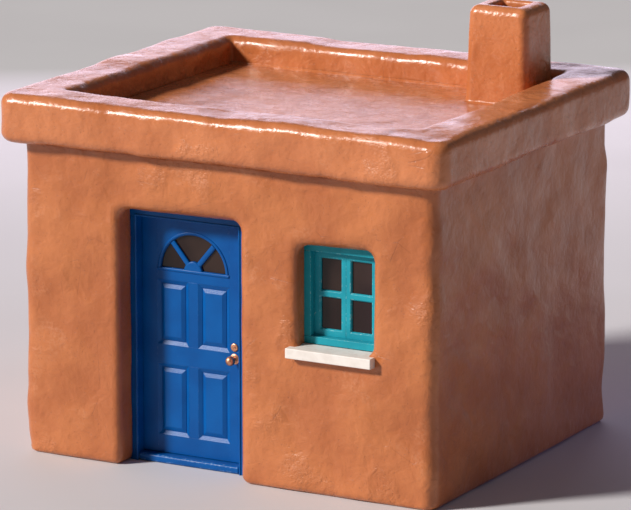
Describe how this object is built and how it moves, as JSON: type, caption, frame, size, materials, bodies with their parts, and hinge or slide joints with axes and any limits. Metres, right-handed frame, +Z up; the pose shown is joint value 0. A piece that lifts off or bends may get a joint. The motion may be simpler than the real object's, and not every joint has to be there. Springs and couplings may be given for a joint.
{
  "type": "adobe house",
  "caption": "Small one-room adobe house with a flat roof behind a rounded parapet, a square chimney, a panelled door that swings and a casement window over a sill.",
  "frame": {"origin": "on the ground, under the middle of the parapet's outline", "axes": "+Z up, +X to the right along the front as seen from outside, +Y from the front wall to the back wall"},
  "size_m": [4.101, 3.495, 3.6],
  "materials": {
    "adobe": "satin",
    "roof_adobe": "satin",
    "floor_earth": "matte",
    "door_paint": "satin",
    "window_paint": "satin",
    "dark_glass": "gloss",
    "bronze": "satin",
    "hinge_brass": "satin",
    "sill_stone": "satin"
  },
  "bodies": {
    "house": {"front_wall_left": "adobe", "front_wall_middle": "adobe", "front_wall_right": "adobe", "front_wall_over_door": "adobe", "front_wall_over_window": "adobe", "front_wall_under_window": "adobe", "left_wall": "adobe", "right_wall": "adobe", "back_wall": "adobe", "floor_slab": "floor_earth", "roof_slab": "roof_adobe", "parapet_front": "roof_adobe", "parapet_back": "roof_adobe", "parapet_left": "roof_adobe", "parapet_right": "roof_adobe", "chimney": "adobe", "door_jamb_left": "door_paint", "door_jamb_right": "door_paint", "door_head": "door_paint", "door_threshold": "door_paint", "hinge_frame_plates": "hinge_brass", "hinge_pins": "hinge_brass", "window_jambs": "window_paint", "window_head_and_foot": "window_paint", "casement_left": "window_paint", "casement_right": "window_paint", "window_glass": "dark_glass", "window_sill": "sill_stone"},
    "door": {"door_hinge_stile": "door_paint", "door_lock_stile": "door_paint", "door_bottom_rail": "door_paint", "door_lock_rail": "door_paint", "door_top_rail": "door_paint", "door_mullions": "door_paint", "door_lower_panels": "door_paint", "door_upper_panels": "door_paint", "fanlight_surround": "door_paint", "fanlight_moulding": "door_paint", "fanlight_glass": "dark_glass", "hinge_door_plates": "hinge_brass", "knob_plates": "bronze", "door_lock": "bronze"},
    "knob": {"knob_outside": "bronze", "knob_inside": "bronze"}
  },
  "joints": [
    {"name": "door_hinge", "type": "hinge", "parent": "house", "child": "door", "pos_m": [-0.9435, -1.2265, 1.061], "axis": [0, 0, 1], "range_deg": [0, 110]},
    {"name": "knob_turn", "type": "hinge", "parent": "door", "child": "knob", "pos_m": [-0.078, -1.257, 0.935], "axis": [0, -1, 0], "range_deg": [-60, 60], "stiffness_Nm_per_rad": 0.4}
  ]
}
